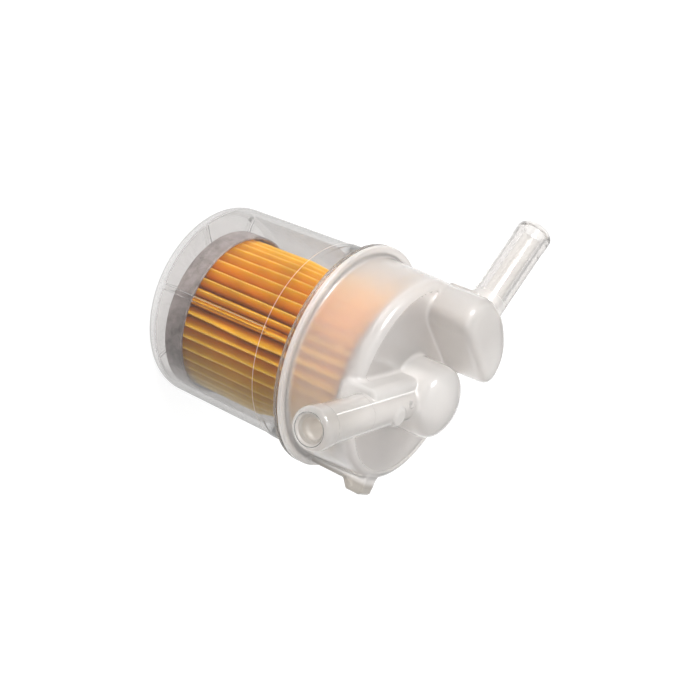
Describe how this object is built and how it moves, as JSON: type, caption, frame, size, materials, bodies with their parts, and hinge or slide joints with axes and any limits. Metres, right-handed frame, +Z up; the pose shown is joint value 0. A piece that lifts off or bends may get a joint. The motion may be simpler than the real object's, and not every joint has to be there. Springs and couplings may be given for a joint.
{
  "type": "fuel filter",
  "caption": "In-line fuel filter for a small engine: clear cup-shaped bowl, milky head with hose nipples, pleated paper element inside.",
  "frame": {"origin": "centre of the bowl's flat base, on the case's axis", "axes": "+Z up the case's axis from the bowl to the head; +X along the outlet nipple towards its tip; the inlet nipple points between -X and -Y"},
  "size_m": [0.0782, 0.063, 0.0685],
  "materials": {
    "clear_plastic": "gloss",
    "milky_plastic": "gloss",
    "filter_paper": "matte",
    "core_plastic": "matte",
    "grey_cap": "matte",
    "potting": "satin",
    "seal_rubber": "matte"
  },
  "bodies": {
    "root": {"bowl": "clear_plastic", "head": "milky_plastic", "pleated_paper": "filter_paper", "core_tube": "core_plastic", "lower_end_cap": "grey_cap", "upper_end_cap": "grey_cap", "lower_potting_bed": "potting", "upper_potting_bed": "potting", "outlet_seal": "seal_rubber"}
  },
  "joints": []
}
